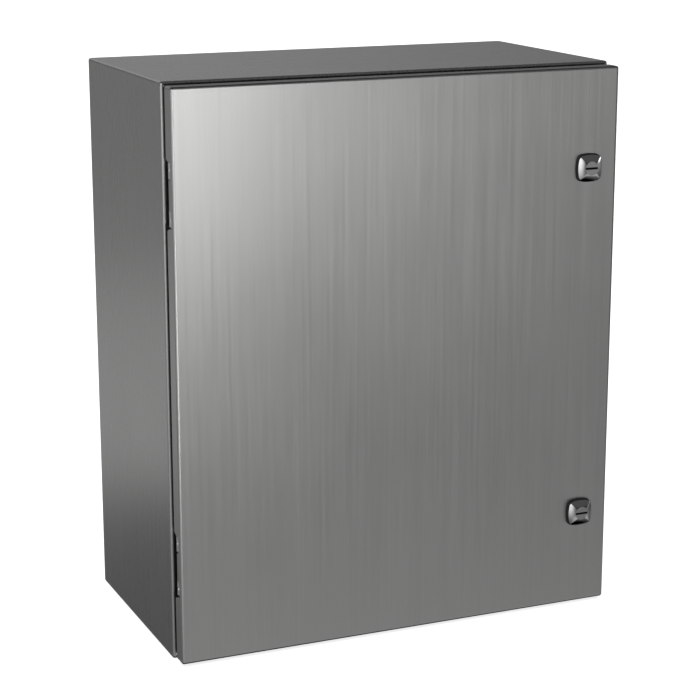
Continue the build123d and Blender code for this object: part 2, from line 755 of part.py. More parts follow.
def handle_lever():
    """Steel lever with its hub and the pin that drives the link."""
    y = forward(ROTOR_DEPTH)
    dy, dz = crank_pin_offset()
    lever = lever_bar() + rod_x(y, HANDLE_Z, 84, 94, 10)
    lever += rod_x(y + dy, HANDLE_Z + dz, LINK_X[0] - 1.5, LEVER_X[0], CRANK_PIN_R)
    return lever - rod_x(y, HANDLE_Z, 60, 110, PIVOT_R + RUNNING)


def handle_grip():
    """Moulded grip pushed over the end of the lever."""
    y = forward(ROTOR_DEPTH)
    x0, x1 = LEVER_X[0] - 4.5, LEVER_X[1] + 4.5
    outline = Pos(-88, 0) * SlotCenterToCenter(46, 24)
    grip = side_slab(Pos(y, HANDLE_Z) * Rot(0, 0, -LEVER_ANGLE) * outline, x0, x1)
    return fillet(grip.edges().group_by(Axis.X)[0] + grip.edges().group_by(Axis.X)[-1], 4) - lever_bar()


def drive_link():
    """Flat link between the two crank pins, parallel to the line through their axes."""
    dy, dz = crank_pin_offset()
    y = forward(ROTOR_DEPTH) + dy
    span = ROTOR_Z - HANDLE_Z
    outline = Pos(y, HANDLE_Z + dz + span / 2) * Rot(0, 0, 90) * SlotCenterToCenter(span, 12)
    link = side_slab(outline, *LINK_X)
    link -= rod_x(y, HANDLE_Z + dz, 70, 90, CRANK_PIN_R + RUNNING)
    return link - rod_x(y, ROTOR_Z + dz, 70, 90, CRANK_PIN_R + LINK_LOOSE)


def toggle_spring():
    """Torsion spring coiled round the lever's pivot."""
    y = forward(ROTOR_DEPTH)
    wire, radius, pitch = 1.0, 7.5, 2.6
    start = FRAME_LEFT + FRAME_T + wire + 0.2
    path = Pos(start, y, HANDLE_Z) * Rot(0, 90, 0) * Helix(pitch, 3 * pitch, radius)
    section = Plane(origin=path @ 0, z_dir=path % 0) * Circle(wire)
    return sweep(section, path=path)


# ---- arc chutes and shield -----------------------------------------------------------------------
CHUTE_TOP = 120.0
CHUTE_DEPTHS = (60.0, 66.0, 72.0, 78.0)


def arc_chutes():
    """Fibre frames clipped between the walls, ahead of the line contacts."""
    frames = []
    reach = (POLE_PITCH - WALL_T) / 2 - 0.1
    for x in POLES:
        frame = block((x - reach, x + reach), ahead(58, 84), (CHUTE_TOP, CHUTE_TOP + 2.5))
        for side in (-1, 1):
            cheek = (x + side * 16, x + side * 18)
            frame += block(cheek, ahead(58, 84), (CHUTE_TOP - 28, CHUTE_TOP))
        frames.append(frame)
    return solids(frames)


def arc_plates():
    """Steel plates with a notch that the blades sweep through."""
    plates = []
    for x in POLES:
        for depth in CHUTE_DEPTHS:
            plate = block((x - 16, x + 16), ahead(depth, depth + 1.2), (CHUTE_TOP - 26, CHUTE_TOP))
            notch = block((x - 6.5, x + 6.5), ahead(depth - 1, depth + 2), (90, 112))
            plates.append(plate - notch)
    return solids(plates)


def line_shield():
    """Clear cover over the line terminals, clipped over the outer walls."""
    walls = wall_places()
    outer = WALL_T / 2 + 0.3
    left, right = walls[0] - outer, walls[3] + outer
    span = (BASE_TOP - 44, BASE_TOP - 4)
    roof = WALL_DEPTH + 0.3
    shield = block((left - 2, right + 2), ahead(roof, roof + 2), span)
    for x in ((left - 2, left), (right, right + 2)):
        shield += block(x, ahead(BASE_T + 10, roof), span)
    return shield


PARTS = {
    "enclosure_body": enclosure_body,
    "panel_studs": panel_studs,
    "mounting_panel": mounting_panel,
    "panel_nuts": panel_nuts,
    "body_ground_stud": body_ground_stud,
    "body_ground_nut": body_ground_nut,
    "door": door,
    "door_gasket": door_gasket,
    "door_ground_stud": door_ground_stud,
    "hinge_pins": hinge_pins,
    "hinge_washers": hinge_washers,
    "latch_seals": latch_seals,
    "latch_nuts": latch_nuts,
    "switch_base": switch_base,
    "switch_screws": switch_screws,
    "line_contacts": line_contacts,
    "load_contacts": load_contacts,
    "load_straps": load_straps,
    "line_lugs": line_lugs,
    "load_lugs": load_lugs,
    "ground_lug": ground_lug,
    "lug_screws": lug_screws,
    "rotor_shaft": rotor_shaft,
    "rotor_crank": rotor_crank,
    "mechanism_frame": mechanism_frame,
    "frame_screws": frame_screws,
    "pivot_pin": pivot_pin,
    "handle_lever": handle_lever,
    "handle_grip": handle_grip,
    "drive_link": drive_link,
    "toggle_spring": toggle_spring,
    "arc_chutes": arc_chutes,
    "arc_plates": arc_plates,
    "line_shield": line_shield,
}
HINGE_PARTS = (hinge_body_leaf, hinge_door_leaf)
LATCH_PARTS = (latch_housing, latch_driver, latch_cam, latch_cam_screw)
POLE_PARTS = (fuse_clips, fuse_tube, fuse_caps, blade_pair)


def all_parts():
    """Node name and shape of every part."""
    for name, make in PARTS.items():
        yield name, make()
    for heights, makers in ((HINGE_ZS, HINGE_PARTS), (LATCH_ZS, LATCH_PARTS)):
        for make in makers:
            yield make.__name__ + "_upper", make(heights[0])
            yield make.__name__ + "_lower", make(heights[1])
    for make in POLE_PARTS:
        for number, x in enumerate(POLES, 1):
            yield f"{make.__name__}_{number}", make(x)


os.makedirs("parts", exist_ok=True)
for node, shape in all_parts():
    export_step(shape, f"parts/{node}.step")
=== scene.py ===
"""Looks of the fused disconnect switch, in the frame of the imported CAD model.

X runs to the right, Y to the wall behind and Z up. The origin is the centre of the wall holes, so
the door faces -Y. Blender's units are metres; shapes built here are drawn in millimetres.
"""

import math

import bmesh
import bpy
from mathutils import Matrix, Vector, noise


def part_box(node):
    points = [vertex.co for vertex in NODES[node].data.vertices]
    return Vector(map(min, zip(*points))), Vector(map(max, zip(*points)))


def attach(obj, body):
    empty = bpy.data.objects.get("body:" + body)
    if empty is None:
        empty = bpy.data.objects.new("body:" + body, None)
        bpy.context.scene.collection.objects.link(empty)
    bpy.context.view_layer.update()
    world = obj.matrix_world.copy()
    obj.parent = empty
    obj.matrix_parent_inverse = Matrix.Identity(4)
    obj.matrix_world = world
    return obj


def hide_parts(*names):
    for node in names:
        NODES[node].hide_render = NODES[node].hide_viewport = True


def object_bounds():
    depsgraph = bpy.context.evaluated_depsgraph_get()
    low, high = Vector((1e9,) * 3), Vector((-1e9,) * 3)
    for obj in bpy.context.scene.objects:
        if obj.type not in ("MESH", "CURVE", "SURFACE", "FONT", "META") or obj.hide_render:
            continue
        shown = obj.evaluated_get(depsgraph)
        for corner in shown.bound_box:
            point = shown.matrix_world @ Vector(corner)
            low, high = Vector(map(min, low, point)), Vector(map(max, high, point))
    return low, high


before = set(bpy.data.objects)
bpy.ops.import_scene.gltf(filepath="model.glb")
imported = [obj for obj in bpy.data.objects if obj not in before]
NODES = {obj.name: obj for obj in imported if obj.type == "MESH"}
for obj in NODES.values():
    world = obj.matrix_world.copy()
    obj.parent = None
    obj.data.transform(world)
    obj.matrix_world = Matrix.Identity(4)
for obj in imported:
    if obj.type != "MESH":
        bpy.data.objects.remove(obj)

CAD_BOX = [list(corner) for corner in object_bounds()]
MM = 0.001

# ---- sizes taken over from the design, in millimetres --------------------------------------------
SHEET = 1.5
BOX_HALF_W, BOX_HALF_H, BOX_FRONT = 254.0, 304.8, -254.0
DOOR_FRONT = -281.0
DOOR_SKIN = DOOR_FRONT + SHEET  # inner face of the door's sheet
COLLAR_INSET = 18.0
PANEL_FRONT, PANEL_T = -19.0, 2.0
LATCHES = {"upper": (217.0, 194.5), "lower": (217.0, -194.8)}
POLES = (-74.0, -20.0, 34.0)
FUSE_Y, FUSE_Z, FUSE_HALF = -59.0, -32.0, 37.0
FUSE_BLADE_T, FUSE_BLADE_HALF_W, FUSE_BLADE_LENGTH = 3.2, 9.5, 22
FLANGE_CORNER_IN = 3.5  # box side to where the mitre's weld starts, past the bend
HINGE_TACK = (-247.5, -240.5)  # X range of the tacks on the hinge leaves
LEVER_AXIS_Y, LEVER_ANGLE = -67.0, 30.0  # the angle is in degrees, above the forward direction
FORWARD, BACK, UP = Vector((0, -1, 0)), Vector((0, 1, 0)), Vector((0, 0, 1))

# Patches of metal whose tone is painted darker or lighter to stand for shade and highlight, as limits on the
# sizes of X, Y and Z, whatever their sign. The metal that they catch is all at the front.
DOOR_INSIDE = ((0, 251.8), (250, 280.2), (0, 301.0))
DOOR_BEND = ((249.3, 251.2), (278, 282), (0, 310))
BOX_FLANGE = ((0, 250.8), (252.5, 254.5), (0, 302.8))
KNUCKLES = ((243.4, 251.6), (263.4, 271.6), (0, 310))

# ---- camera and studio -------------------------------------------------------------------------
CAMERA_AT = (-0.8578, -2.1271, 0.5265)
CAMERA_AZIMUTH = 23.327  # degrees to the right of the +Y direction
CAMERA_ELEVATION = 14.149  # degrees down
LENS = 102.17
WASH_STRENGTH, WASH_SPREAD = 1.8, 70  # the spread is in degrees


# ---- materials ---------------------------------------------------------------------------------
class Shader:
    """One procedural material: a Principled surface and helpers that add nodes to it."""

    def __init__(self, name, **values):
        self.material = bpy.data.materials.new(name)
        self.material.use_nodes = True
        self.tree = self.material.node_tree
        self.surface = self.tree.nodes["Principled BSDF"]
        self.set(**values)
        self.coords = self.add("TexCoord").outputs["Object"]
        self.geometry = self.add("NewGeometry")

    def set(self, **values):
        """Sets or links the surface's sockets; Base_Color stands for Base Color."""
        for key, value in values.items():
            self.feed(self.surface.inputs[key.replace("_", " ")], value)

    def feed(self, socket, value):
        if isinstance(value, bpy.types.NodeSocket):
            self.tree.links.new(value, socket)
        elif hasattr(socket.default_value, "__len__") and len(socket.default_value) == 4:
            socket.default_value = (*value[:3], 1.0)
        else:
            socket.default_value = value

    def add(self, kind, inputs=(), **settings):
        node = self.tree.nodes.new("ShaderNode" + kind)
        for key, value in settings.items():
            setattr(node, key, value)
        for index, value in enumerate(inputs):
            if value is not None:
                self.feed(node.inputs[index], value)
        return node

    def math(self, operation, *values):
        return self.add("Math", values, operation=operation).outputs[0]

    def vector(self, operation, *values):
        node = self.add("VectorMath", values, operation=operation)
        return node.outputs["Value" if operation == "DOT_PRODUCT" else "Vector"]

    def noise(self, scale, detail=3.0, rough=0.5, stretch=(1, 1, 1), coords=None):
        spot = self.vector("MULTIPLY", coords or self.coords, stretch)
        node = self.add("TexNoise")
        node.noise_dimensions = "3D"
        self.feed(node.inputs["Vector"], spot)
        node.inputs["Scale"].default_value = scale
        node.inputs["Detail"].default_value = detail
        node.inputs["Roughness"].default_value = rough
        return node.outputs[0]

    def cells(self, scale, feature="F1"):
        node = self.add("TexVoronoi", feature=feature)
        self.feed(node.inputs["Vector"], self.coords)
        node.inputs["Scale"].default_value = scale
        return node.outputs["Distance"]

    def between(self, value, low, high, start=0.3, end=0.7):
        """Maps a value from start..end onto low..high."""
        node = self.add("MapRange", (value, start, end, low, high), clamp=True)
        return node.outputs[0]

    def mix(self, share, first, second):
        node = self.add("Mix", data_type="RGBA")
        for index, value in ((0, share), (6, first), (7, second)):
            self.feed(node.inputs[index], value)
        return node.outputs[2]

    def bump(self, height, distance, strength=1.0):
        node = self.add("Bump")
        node.inputs["Strength"].default_value = strength
        node.inputs["Distance"].default_value = distance
        self.feed(node.inputs["Height"], height)
        self.set(Normal=node.outputs[0])

    def edges(self, width, noise_scale=300):
        """1 on outer edges, 0 elsewhere: a mask for wear, and for a painted highlight where it lightens a
        colour.
        """
        rounded = self.add("Bevel", samples=4)
        rounded.inputs["Radius"].default_value = width * MM
        along = self.vector("DOT_PRODUCT", rounded.outputs[0], self.geometry.outputs["Normal"])
        bent = self.between(along, 1.0, 0.0, 0.8, 0.99)
        return self.math("MULTIPLY", bent, self.between(self.noise(noise_scale), 0.2, 1.0, 0.4, 0.6))


ALONG_GRAIN = 0.012  # scale of a brushed sheet's noise along its grain
LEVEL_FROM = 0.72  # size of a normal's Z from which a face counts as level


def brushed_stainless(name, roughness, anisotropy, level_grain, level_stretch, painted_shade=None):
    """Number 4 brushed sheet: vertical grain on upright faces, grain along level_grain on level ones.

    level_stretch scales the grain's noise on level faces; it is small along the grain. A painted_shade
    function takes the shader and its mask of level faces, and returns a factor of painted shade for the tone.
    """
    s = Shader(name, Metallic=1.0, Anisotropic=anisotropy)
    normal = s.geometry.outputs["Normal"]
    across = s.vector("CROSS_PRODUCT", (0, 0, 1), normal)
    up = s.add("SeparateXYZ", (normal,)).outputs["Z"]
    level = s.math("GREATER_THAN", s.math("ABSOLUTE", up), LEVEL_FROM)
    tangent = s.add("Mix", data_type="VECTOR")
    stretch = s.add("Mix", data_type="VECTOR")
    upright_stretch = (1, 1, ALONG_GRAIN)
    for node, upright, lying in ((tangent, across, level_grain), (stretch, upright_stretch, level_stretch)):
        s.feed(node.inputs[0], level)
        s.feed(node.inputs[4], upright)
        s.feed(node.inputs[5], lying)
    s.set(Tangent=tangent.outputs[1])
    grain_at = s.vector("MULTIPLY", s.coords, stretch.outputs[1])
    fine = s.noise(2600, 2, 0.6, coords=grain_at)
    streaks = s.noise(260, 3, 0.6, coords=grain_at)
    smudge = s.noise(7, 3, 0.5)
    grain = s.math("ADD", s.math("MULTIPLY", fine, 0.45), s.math("MULTIPLY", streaks, 0.55))
    tone = s.between(grain, 0.575, 0.625)
    # painted shade: the function's factor darkens the grain's tone
    if painted_shade:
        tone = s.math("MULTIPLY", tone, painted_shade(s, level))
    s.set(Base_Color=s.add("CombineColor", (tone, tone, s.math("MULTIPLY", tone, 0.985))).outputs[0])
    rough = s.between(grain, roughness - 0.03, roughness + 0.03)
    s.set(Roughness=s.math("ADD", rough, s.between(smudge, -0.01, 0.01)))
    s.bump(grain, 0.00001, 0.3)
    return s.material


def within_box(s, limits):
    """1 where the size of X, Y and Z lies between each pair of limits, in millimetres."""
    inside = 1.0
    for value, (low, high) in zip(s.add("SeparateXYZ", (s.coords,)).outputs, limits):
        size = s.math("ABSOLUTE", value)
        above = s.math("GREATER_THAN", size, low * MM)
        below = s.math("LESS_THAN", size, high * MM)
        inside = s.math("MULTIPLY", inside, s.math("MULTIPLY", above, below))
    return inside


def painted_door_shade(s, level):
    """Painted shade on the door: its inner faces and level flanges are painted darker, and its side bends
    darker towards the top.
    """
    inner = within_box(s, DOOR_INSIDE)
    bend = within_box(s, DOOR_BEND)
    height = s.add("SeparateXYZ", (s.coords,)).outputs["Z"]
    # painted shade: the side bends darken towards the top, down to half their tone
    bend_shade = s.math("MULTIPLY", bend, s.between(height, 0.0, 0.5, -0.25, 0.2))
    # painted shade: inner faces fall to 0.4 and level faces to 0.35 of their tone
    painted_shade = s.math("MULTIPLY", s.between(inner, 1.0, 0.4, 0, 1), s.between(level, 1.0, 0.35, 0, 1))
    return s.math("MULTIPLY", painted_shade, s.math("SUBTRACT", 1.0, bend_shade))


def painted_flange_shade(s, _level):
    """Painted shade on the box's front flange, where the door's rim shades it, broken up by noise."""
    flange = within_box(s, BOX_FLANGE)
    # painted shade: the flange's tone falls to between a quarter and two fifths of its own
    darker_tone = s.between(s.noise(60, 3), 0.25, 0.4)
    return s.math("ADD", s.math("MULTIPLY", flange, darker_tone), s.math("SUBTRACT", 1.0, flange))


def hinge_steel():
    """Hinge steel with fine turning marks; a painted highlight makes its knuckles bright, and painted shade
    makes its leaves dark.
    """
    s = Shader("hinge_steel", Metallic=1.0)
    marks = s.noise(2200, 2, 0.6, stretch=(1, 1, 0.12))
    knuckle = within_box(s, KNUCKLES)
    # painted highlight and shade: knuckles at 0.95 of the tone, leaves at 0.1
    tone = s.math("MULTIPLY", s.between(knuckle, 0.1, 0.95, 0, 1), s.between(s.noise(60, 3), 0.9, 1.0))
    s.set(Base_Color=s.add("CombineColor", (tone, tone, tone)).outputs[0])
    s.set(Roughness=s.between(marks, 0.25, 0.38))
    s.bump(marks, 0.00002, 0.3)
    return s.material


def polished_chrome():
    """Chrome plate with a faint ripple under it and a light haze of wiping marks."""
    s = Shader("polished_chrome", Metallic=1.0)
    ripple = s.noise(90, 2)
    haze = s.noise(700, 3, 0.6)
    s.set(Base_Color=s.mix(s.between(haze, 0, 1), (0.70, 0.70, 0.71), (0.80, 0.80, 0.80)))
    s.set(Roughness=s.between(haze, 0.05, 0.13))
    s.bump(ripple, 0.00015, 0.25)
    return s.material


def slotted_chrome(name, slot_z):
    """Chrome with painted shade: its driver slot, and a band of metal beside it, are painted nearly black,
    rough and unmetallic.
    """
    s = Shader(name, Metallic=1.0)
    _, depth, height = s.add("SeparateXYZ", (s.coords,)).outputs
    slot_top, slot_floor, slot_reach, fade = -289.3, -285.5, 1.3, 0.2
    behind_top = s.between(depth, 0, 1, slot_top * MM, (slot_top + 0.6) * MM)
    ahead_of_floor = s.between(depth, 1, 0, slot_floor * MM, (slot_floor + 0.5) * MM)
    away = s.math("ABSOLUTE", s.math("SUBTRACT", height, slot_z * MM))
    beside = s.between(away, 1, 0, (slot_reach - fade) * MM, slot_reach * MM)
    # painted shade: the slot and the band beside it go nearly black, rough and unmetallic
    slot_shade = s.math("MAXIMUM", s.math("MULTIPLY", behind_top, ahead_of_floor), beside)
    haze = s.noise(700, 3, 0.6)
    unshaded_chrome = s.mix(s.between(haze, 0, 1), (0.70, 0.70, 0.71), (0.80, 0.80, 0.80))
    s.set(Base_Color=s.mix(slot_shade, unshaded_chrome, (0.012, 0.012, 0.012)))
    s.set(Roughness=s.math("ADD", s.between(haze, 0.05, 0.13), s.math("MULTIPLY", slot_shade, 0.6)))
    s.set(Metallic=s.math("SUBTRACT", 1.0, slot_shade))
    s.bump(haze, 0.00003, 0.2)
    return s.material


def bare_metal(name, colour, roughness, darker_tone=None):
    """Machined or drawn metal: fine turning marks, cloudy roughness, edges brightened by wear and by a
    painted highlight.
    """
    s = Shader(name, Metallic=1.0)
    marks = s.noise(2200, 2, 0.6, stretch=(1, 1, 0.12))
    cloud = s.noise(60, 4, 0.6)
    darker = [c * 0.82 for c in colour] if darker_tone is None else darker_tone
    edge_mask = s.edges(0.35)
    body = s.mix(s.between(cloud, 0, 1), colour, darker)
    # edges lightened by wear and by a painted highlight
    s.set(Base_Color=s.mix(edge_mask, body, [min(1, c * 1.18) for c in colour]))
    turned = s.between(marks, roughness - 0.06, roughness + 0.06)
    rough = s.math("ADD", turned, s.between(cloud, -0.04, 0.05))
    s.set(Roughness=s.math("SUBTRACT", rough, s.math("MULTIPLY", edge_mask, 0.08)))
    s.bump(marks, 0.00002, 0.3)
    return s.material


def zinc_steel():
    """Clear zinc plate: a faint blue and straw bloom over a crystalline grey."""
    s = Shader("zinc_steel", Metallic=1.0)
    bloom = s.noise(38, 3, 0.55)
    crystal = s.cells(900)
    edge_mask = s.edges(0.3)
    body = s.mix(s.between(bloom, 0, 1), (0.56, 0.60, 0.66), (0.66, 0.64, 0.55))
    # edges lightened by wear and by a painted highlight
    s.set(Base_Color=s.mix(edge_mask, body, (0.74, 0.74, 0.74)))
    s.set(Roughness=s.math("ADD", s.between(crystal, 0.26, 0.38, 0.0, 0.8), s.between(bloom, -0.03, 0.03)))
    s.bump(crystal, 0.00002, 0.35)
    return s.material


def white_enamel():
    """Baked enamel on the mounting panel: orange peel, and steel showing on rubbed edges."""
    s = Shader("white_enamel")
    peel = s.noise(420, 2, 0.5)
    cloud = s.noise(9, 3, 0.5)
    edge_mask = s.edges(0.5, 160)
    rubbed = s.between(edge_mask, 0, 1, 0.75, 0.95)
    body = s.mix(s.between(cloud, 0, 1), (0.80, 0.80, 0.775), (0.745, 0.745, 0.72))
    s.set(Base_Color=s.mix(rubbed, body, (0.40, 0.40, 0.39)))
    rough = s.math("ADD", s.between(peel, 0.28, 0.38), s.between(cloud, -0.03, 0.04))
    s.set(Metallic=rubbed, Roughness=rough)
    s.bump(peel, 0.00006, 0.45)
    return s.material


def moulding(name, colour, fleck, roughness):
    """Compression-moulded thermoset: mineral flecks, dusty patches, and edges lightened by rubbing and by a
    painted highlight.
    """
    s = Shader(name)
    flecks = s.between(s.cells(1100), 1, 0, 0.12, 0.3)
    cloud = s.noise(25, 4, 0.6)
    skin = s.noise(900, 3, 0.6)
    edge_mask = s.edges(0.6)
    body = s.mix(s.between(cloud, 0, 1), colour, [c * 0.84 for c in colour])
    body = s.mix(s.math("MULTIPLY", flecks, 0.3), body, fleck)
    # edges lightened by rubbing and by a painted highlight
    s.set(Base_Color=s.mix(s.math("MULTIPLY", edge_mask, 0.35), body, [min(1, c * 1.9 + 0.03) for c in colour]))
    rough = s.math("ADD", s.between(skin, roughness - 0.06, roughness + 0.06), s.between(cloud, -0.04, 0.06))
    s.set(Roughness=s.math("SUBTRACT", rough, s.math("MULTIPLY", edge_mask, 0.1)))
    s.bump(skin, 0.00003, 0.5)
    return s.material


def black_grip():
    """Soft black plastic with a spark-eroded leather grain."""
    s = Shader("black_grip", Specular_IOR_Level=0.45)
    leather = s.cells(650, "SMOOTH_F1")
    cloud = s.noise(40, 3)
    edge_mask = s.edges(0.8, 120)
    body = s.mix(s.between(cloud, 0, 1), (0.018, 0.018, 0.019), (0.030, 0.030, 0.030))
    # edges lightened by wear and by a painted highlight
    s.set(Base_Color=s.mix(s.math("MULTIPLY", edge_mask, 0.5), body, (0.07, 0.07, 0.07)))
    s.set(Roughness=s.between(leather, 0.62, 0.48, 0.1, 0.7))
    s.bump(leather, 0.00012, 0.5)
    return s.material


def black_rubber():
    """Moulded rubber with a dusty grey bloom."""
    s = Shader("black_rubber", Specular_IOR_Level=0.35)
    skin = s.noise(700, 3, 0.65)
    bloom = s.noise(55, 3)
    s.set(Base_Color=s.mix(s.between(bloom, 0, 1, 0.45, 0.75), (0.012, 0.012, 0.012), (0.035, 0.035, 0.034)))
    s.set(Roughness=s.between(skin, 0.6, 0.8))
    s.bump(skin, 0.00005, 0.5)
    return s.material


def black_foam():
    """Closed-cell foam with its skin broken into small pores."""
    s = Shader("black_foam", Specular_IOR_Level=0.25)
    pores = s.cells(1500)
    lumps = s.noise(220, 4, 0.6)
    hollow = s.between(pores, 0, 1, 0.05, 0.45)
    s.set(Base_Color=s.mix(hollow, (0.008, 0.008, 0.008), (0.032, 0.032, 0.033)))
    s.set(Roughness=s.between(lumps, 0.82, 0.97))
    s.bump(s.math("ADD", s.math("MULTIPLY", hollow, 0.5), lumps), 0.00025, 0.7)
    return s.material


def white_nylon():
    """Turned nylon, a little waxy and yellowed."""
    s = Shader("white_nylon", Subsurface_Weight=0.25, Subsurface_Scale=0.002)
    marks = s.noise(1500, 2, stretch=(1, 1, 0.2))
    cloud = s.noise(150, 3)
    s.set(Base_Color=s.mix(s.between(cloud, 0, 1), (0.78, 0.76, 0.70), (0.70, 0.67, 0.60)))
    s.set(Roughness=s.between(marks, 0.35, 0.5))
    s.bump(marks, 0.00003, 0.4)
    return s.material


def clear_polycarbonate():
    """Clear sheet with fine handling scratches and a breath of dust."""
    s = Shader("clear_polycarbonate", Transmission_Weight=1.0, IOR=1.585, Base_Color=(0.93, 0.96, 0.97))
    scratches = s.noise(500, 4, 0.7, stretch=(1, 1, 0.06))
    dust = s.noise(35, 4, 0.6)
    s.set(Roughness=s.math("ADD", s.between(scratches, 0.0, 0.07, 0.55, 0.7), s.between(dust, 0.01, 0.06)))
    s.bump(scratches, 0.00001, 0.3)
    return s.material


def fibre():
    """Brown vulcanised fibre: pressed paper with short fibres in it."""
    s = Shader("fibre", Specular_IOR_Level=0.4)
    threads = s.noise(900, 4, 0.7, stretch=(1, 0.25, 0.4))
    cloud = s.noise(45, 3)
    pale = s.mix(s.between(cloud, 0, 1), (0.33, 0.17, 0.09), (0.26, 0.125, 0.065))
    s.set(Base_Color=s.mix(s.between(threads, 0, 0.5, 0.5, 0.75), pale, (0.46, 0.28, 0.16)))
    s.set(Roughness=s.between(threads, 0.5, 0.7))
    s.bump(threads, 0.00006, 0.5)
    return s.material


def fuse_glassfibre():
    """Resin-bonded glass tube: a square weave under a thin glaze."""
    s = Shader("fuse_glassfibre", Coat_Weight=0.3, Coat_Roughness=0.2)
    split = s.add("SeparateXYZ", (s.coords,))
    around = s.math("MULTIPLY", s.math("ADD", split.outputs["X"], split.outputs["Y"]), 5200)
    along = s.math("MULTIPLY", split.outputs["Z"], 5200)
    weave = s.math("MULTIPLY", s.math("SINE", around), s.math("SINE", along))
    cloud = s.noise(80, 3)
    warm = s.mix(s.between(cloud, 0, 1), (0.72, 0.60, 0.36), (0.64, 0.51, 0.28))
    s.set(Base_Color=s.mix(s.between(weave, 0, 0.35, -0.6, 0.8), warm, (0.80, 0.72, 0.50)))
    s.set(Roughness=s.between(weave, 0.36, 0.5, -1, 1))
    s.bump(weave, 0.00004, 0.5)
    return s.material


MATERIALS = {
    "aluminium": bare_metal("aluminium", (0.72, 0.72, 0.73), 0.36, darker_tone=(0.60, 0.60, 0.61)),
    "black_foam": black_foam(),
    "black_grip": black_grip(),
    "black_rubber": black_rubber(),
    "bright_steel": bare_metal("bright_steel", (0.60, 0.60, 0.605), 0.27),
    "brushed_stainless": brushed_stainless("brushed_stainless", 0.28, 0.9, (0, 1, 0),
                                           (ALONG_GRAIN, 1, 1), painted_flange_shade),
    "clear_polycarbonate": clear_polycarbonate(),
    "copper": bare_metal("copper", (0.83, 0.43, 0.26), 0.28, darker_tone=(0.50, 0.24, 0.15)),
    "fibre": fibre(),
    "fuse_glassfibre": fuse_glassfibre(),
    "grey_thermoset": moulding("grey_thermoset", (0.055, 0.060, 0.066), (0.22, 0.22, 0.22), 0.42),
    "polished_chrome": polished_chrome(),
    "red_thermoset": moulding("red_thermoset", (0.25, 0.030, 0.018), (0.42, 0.16, 0.10), 0.38),
    "spring_steel": bare_metal("spring_steel", (0.30, 0.30, 0.32), 0.3, darker_tone=(0.16, 0.15, 0.15)),
    "tin_plate": bare_metal("tin_plate", (0.70, 0.66, 0.58), 0.33, darker_tone=(0.58, 0.50, 0.38)),
    "white_enamel": white_enamel(),
    "white_nylon": white_nylon(),
    "zinc_steel": zinc_steel(),
}

HINGE_NODES = sorted(name for name in NODES if name.startswith("hinge_"))


def dress_nodes():
    """Gives each CAD node its slot's material, and the latch drivers, door and hinges their own."""
    for node in NODES.values():
        for index, old in enumerate(node.data.materials):
            node.data.materials[index] = MATERIALS[old.name.split(".")[0]]
    for side, (_, z) in LATCHES.items():
        NODES["latch_driver_" + side].data.materials[0] = slotted_chrome("slotted_chrome_" + side, z)
    door = brushed_stainless("brushed_door", 0.35, 0.6, (1, 0, 0), (1, ALONG_GRAIN, 1), painted_door_shade)
    NODES["door"].data.materials[0] = door
    steel = hinge_steel()
    for name in HINGE_NODES:
        if name != "hinge_washers":
            NODES[name].data.materials[0] = steel


# ---- shapes, in millimetres ----------------------------------------------------------------------
def circle(radius, height, steps):
    """Ring of points round the local Z axis."""
    turns = [2 * math.pi * k / steps for k in range(steps)]
    return [Vector((radius * math.cos(a), radius * math.sin(a), height)) for a in turns]


def loft(rings, loop=False):
    """Skins rings of points one after the other. A loop joins the last ring to the first."""
    count = len(rings[0])
    faces = []
    for i in range(len(rings) if loop else len(rings) - 1):
        here, there = i * count, (i + 1) % len(rings) * count
        for j in range(count):
            k = (j + 1) % count
            faces.append((here + j, here + k, there + k, there + j))
    if not loop:
        faces.append(tuple(range(count)))
        faces.append(tuple(range((len(rings) - 1) * count, len(rings) * count)))
    return [point for ring in rings for point in ring], faces


def lathe(profile, steps=40, loop=False):
    """Turns a list of (radius, height) round the local Z axis."""
    return loft([circle(radius, height, steps) for radius, height in profile], loop)


def stand(shape, origin, towards):
    """Points a shape drawn along local Z in a direction, and moves it to its origin."""
    turn = Vector(towards).to_track_quat("Z", "X").to_matrix()
    points, faces = shape
    return [turn @ point + Vector(origin) for point in points], faces


def joined(shapes):
    """Several shapes as one. They share no points."""
    points, faces = [], []
    for more_points, more_faces in shapes:
        start = len(points)
        points += more_points
        faces += [tuple(start + index for index in face) for face in more_faces]
    return points, faces


def piece(name, shape, slot, body, stands_for=(), sharp=35, bevel=0.0):
    """Makes a mesh object of a shape, rides it on a body and finishes it in a material slot."""
    points, faces = shape
    mesh = bpy.data.meshes.new(name)
    bm = bmesh.new()
    verts = [bm.verts.new(Vector(point) * MM) for point in points]
    for face in faces:
        bm.faces.new([verts[index] for index in face])
    bmesh.ops.recalc_face_normals(bm, faces=bm.faces)
    for face in bm.faces:
        face.smooth = True
    for edge in bm.edges:
        edge.smooth = edge.calc_face_angle(0) < math.radians(sharp)
    bm.to_mesh(mesh)
    bm.free()
    mesh.materials.append(MATERIALS[slot])
    obj = bpy.data.objects.new(name, mesh)
    bpy.context.scene.collection.objects.link(obj)
    if bevel:
        modifier = obj.modifiers.new("edges", "BEVEL")
        modifier.width = bevel * MM
        modifier.segments = 2
        modifier.limit_method = "ANGLE"
        modifier.harden_normals = True
    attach(obj, body)
    if stands_for:
        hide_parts(*stands_for)
    return obj


# ---- fasteners -----------------------------------------------------------------------------------
ROWS_PER_PITCH = 6
STUD_STEPS = 28
BARREL_BORE_R = 10.05  # of the nuts and seals on a latch's barrel


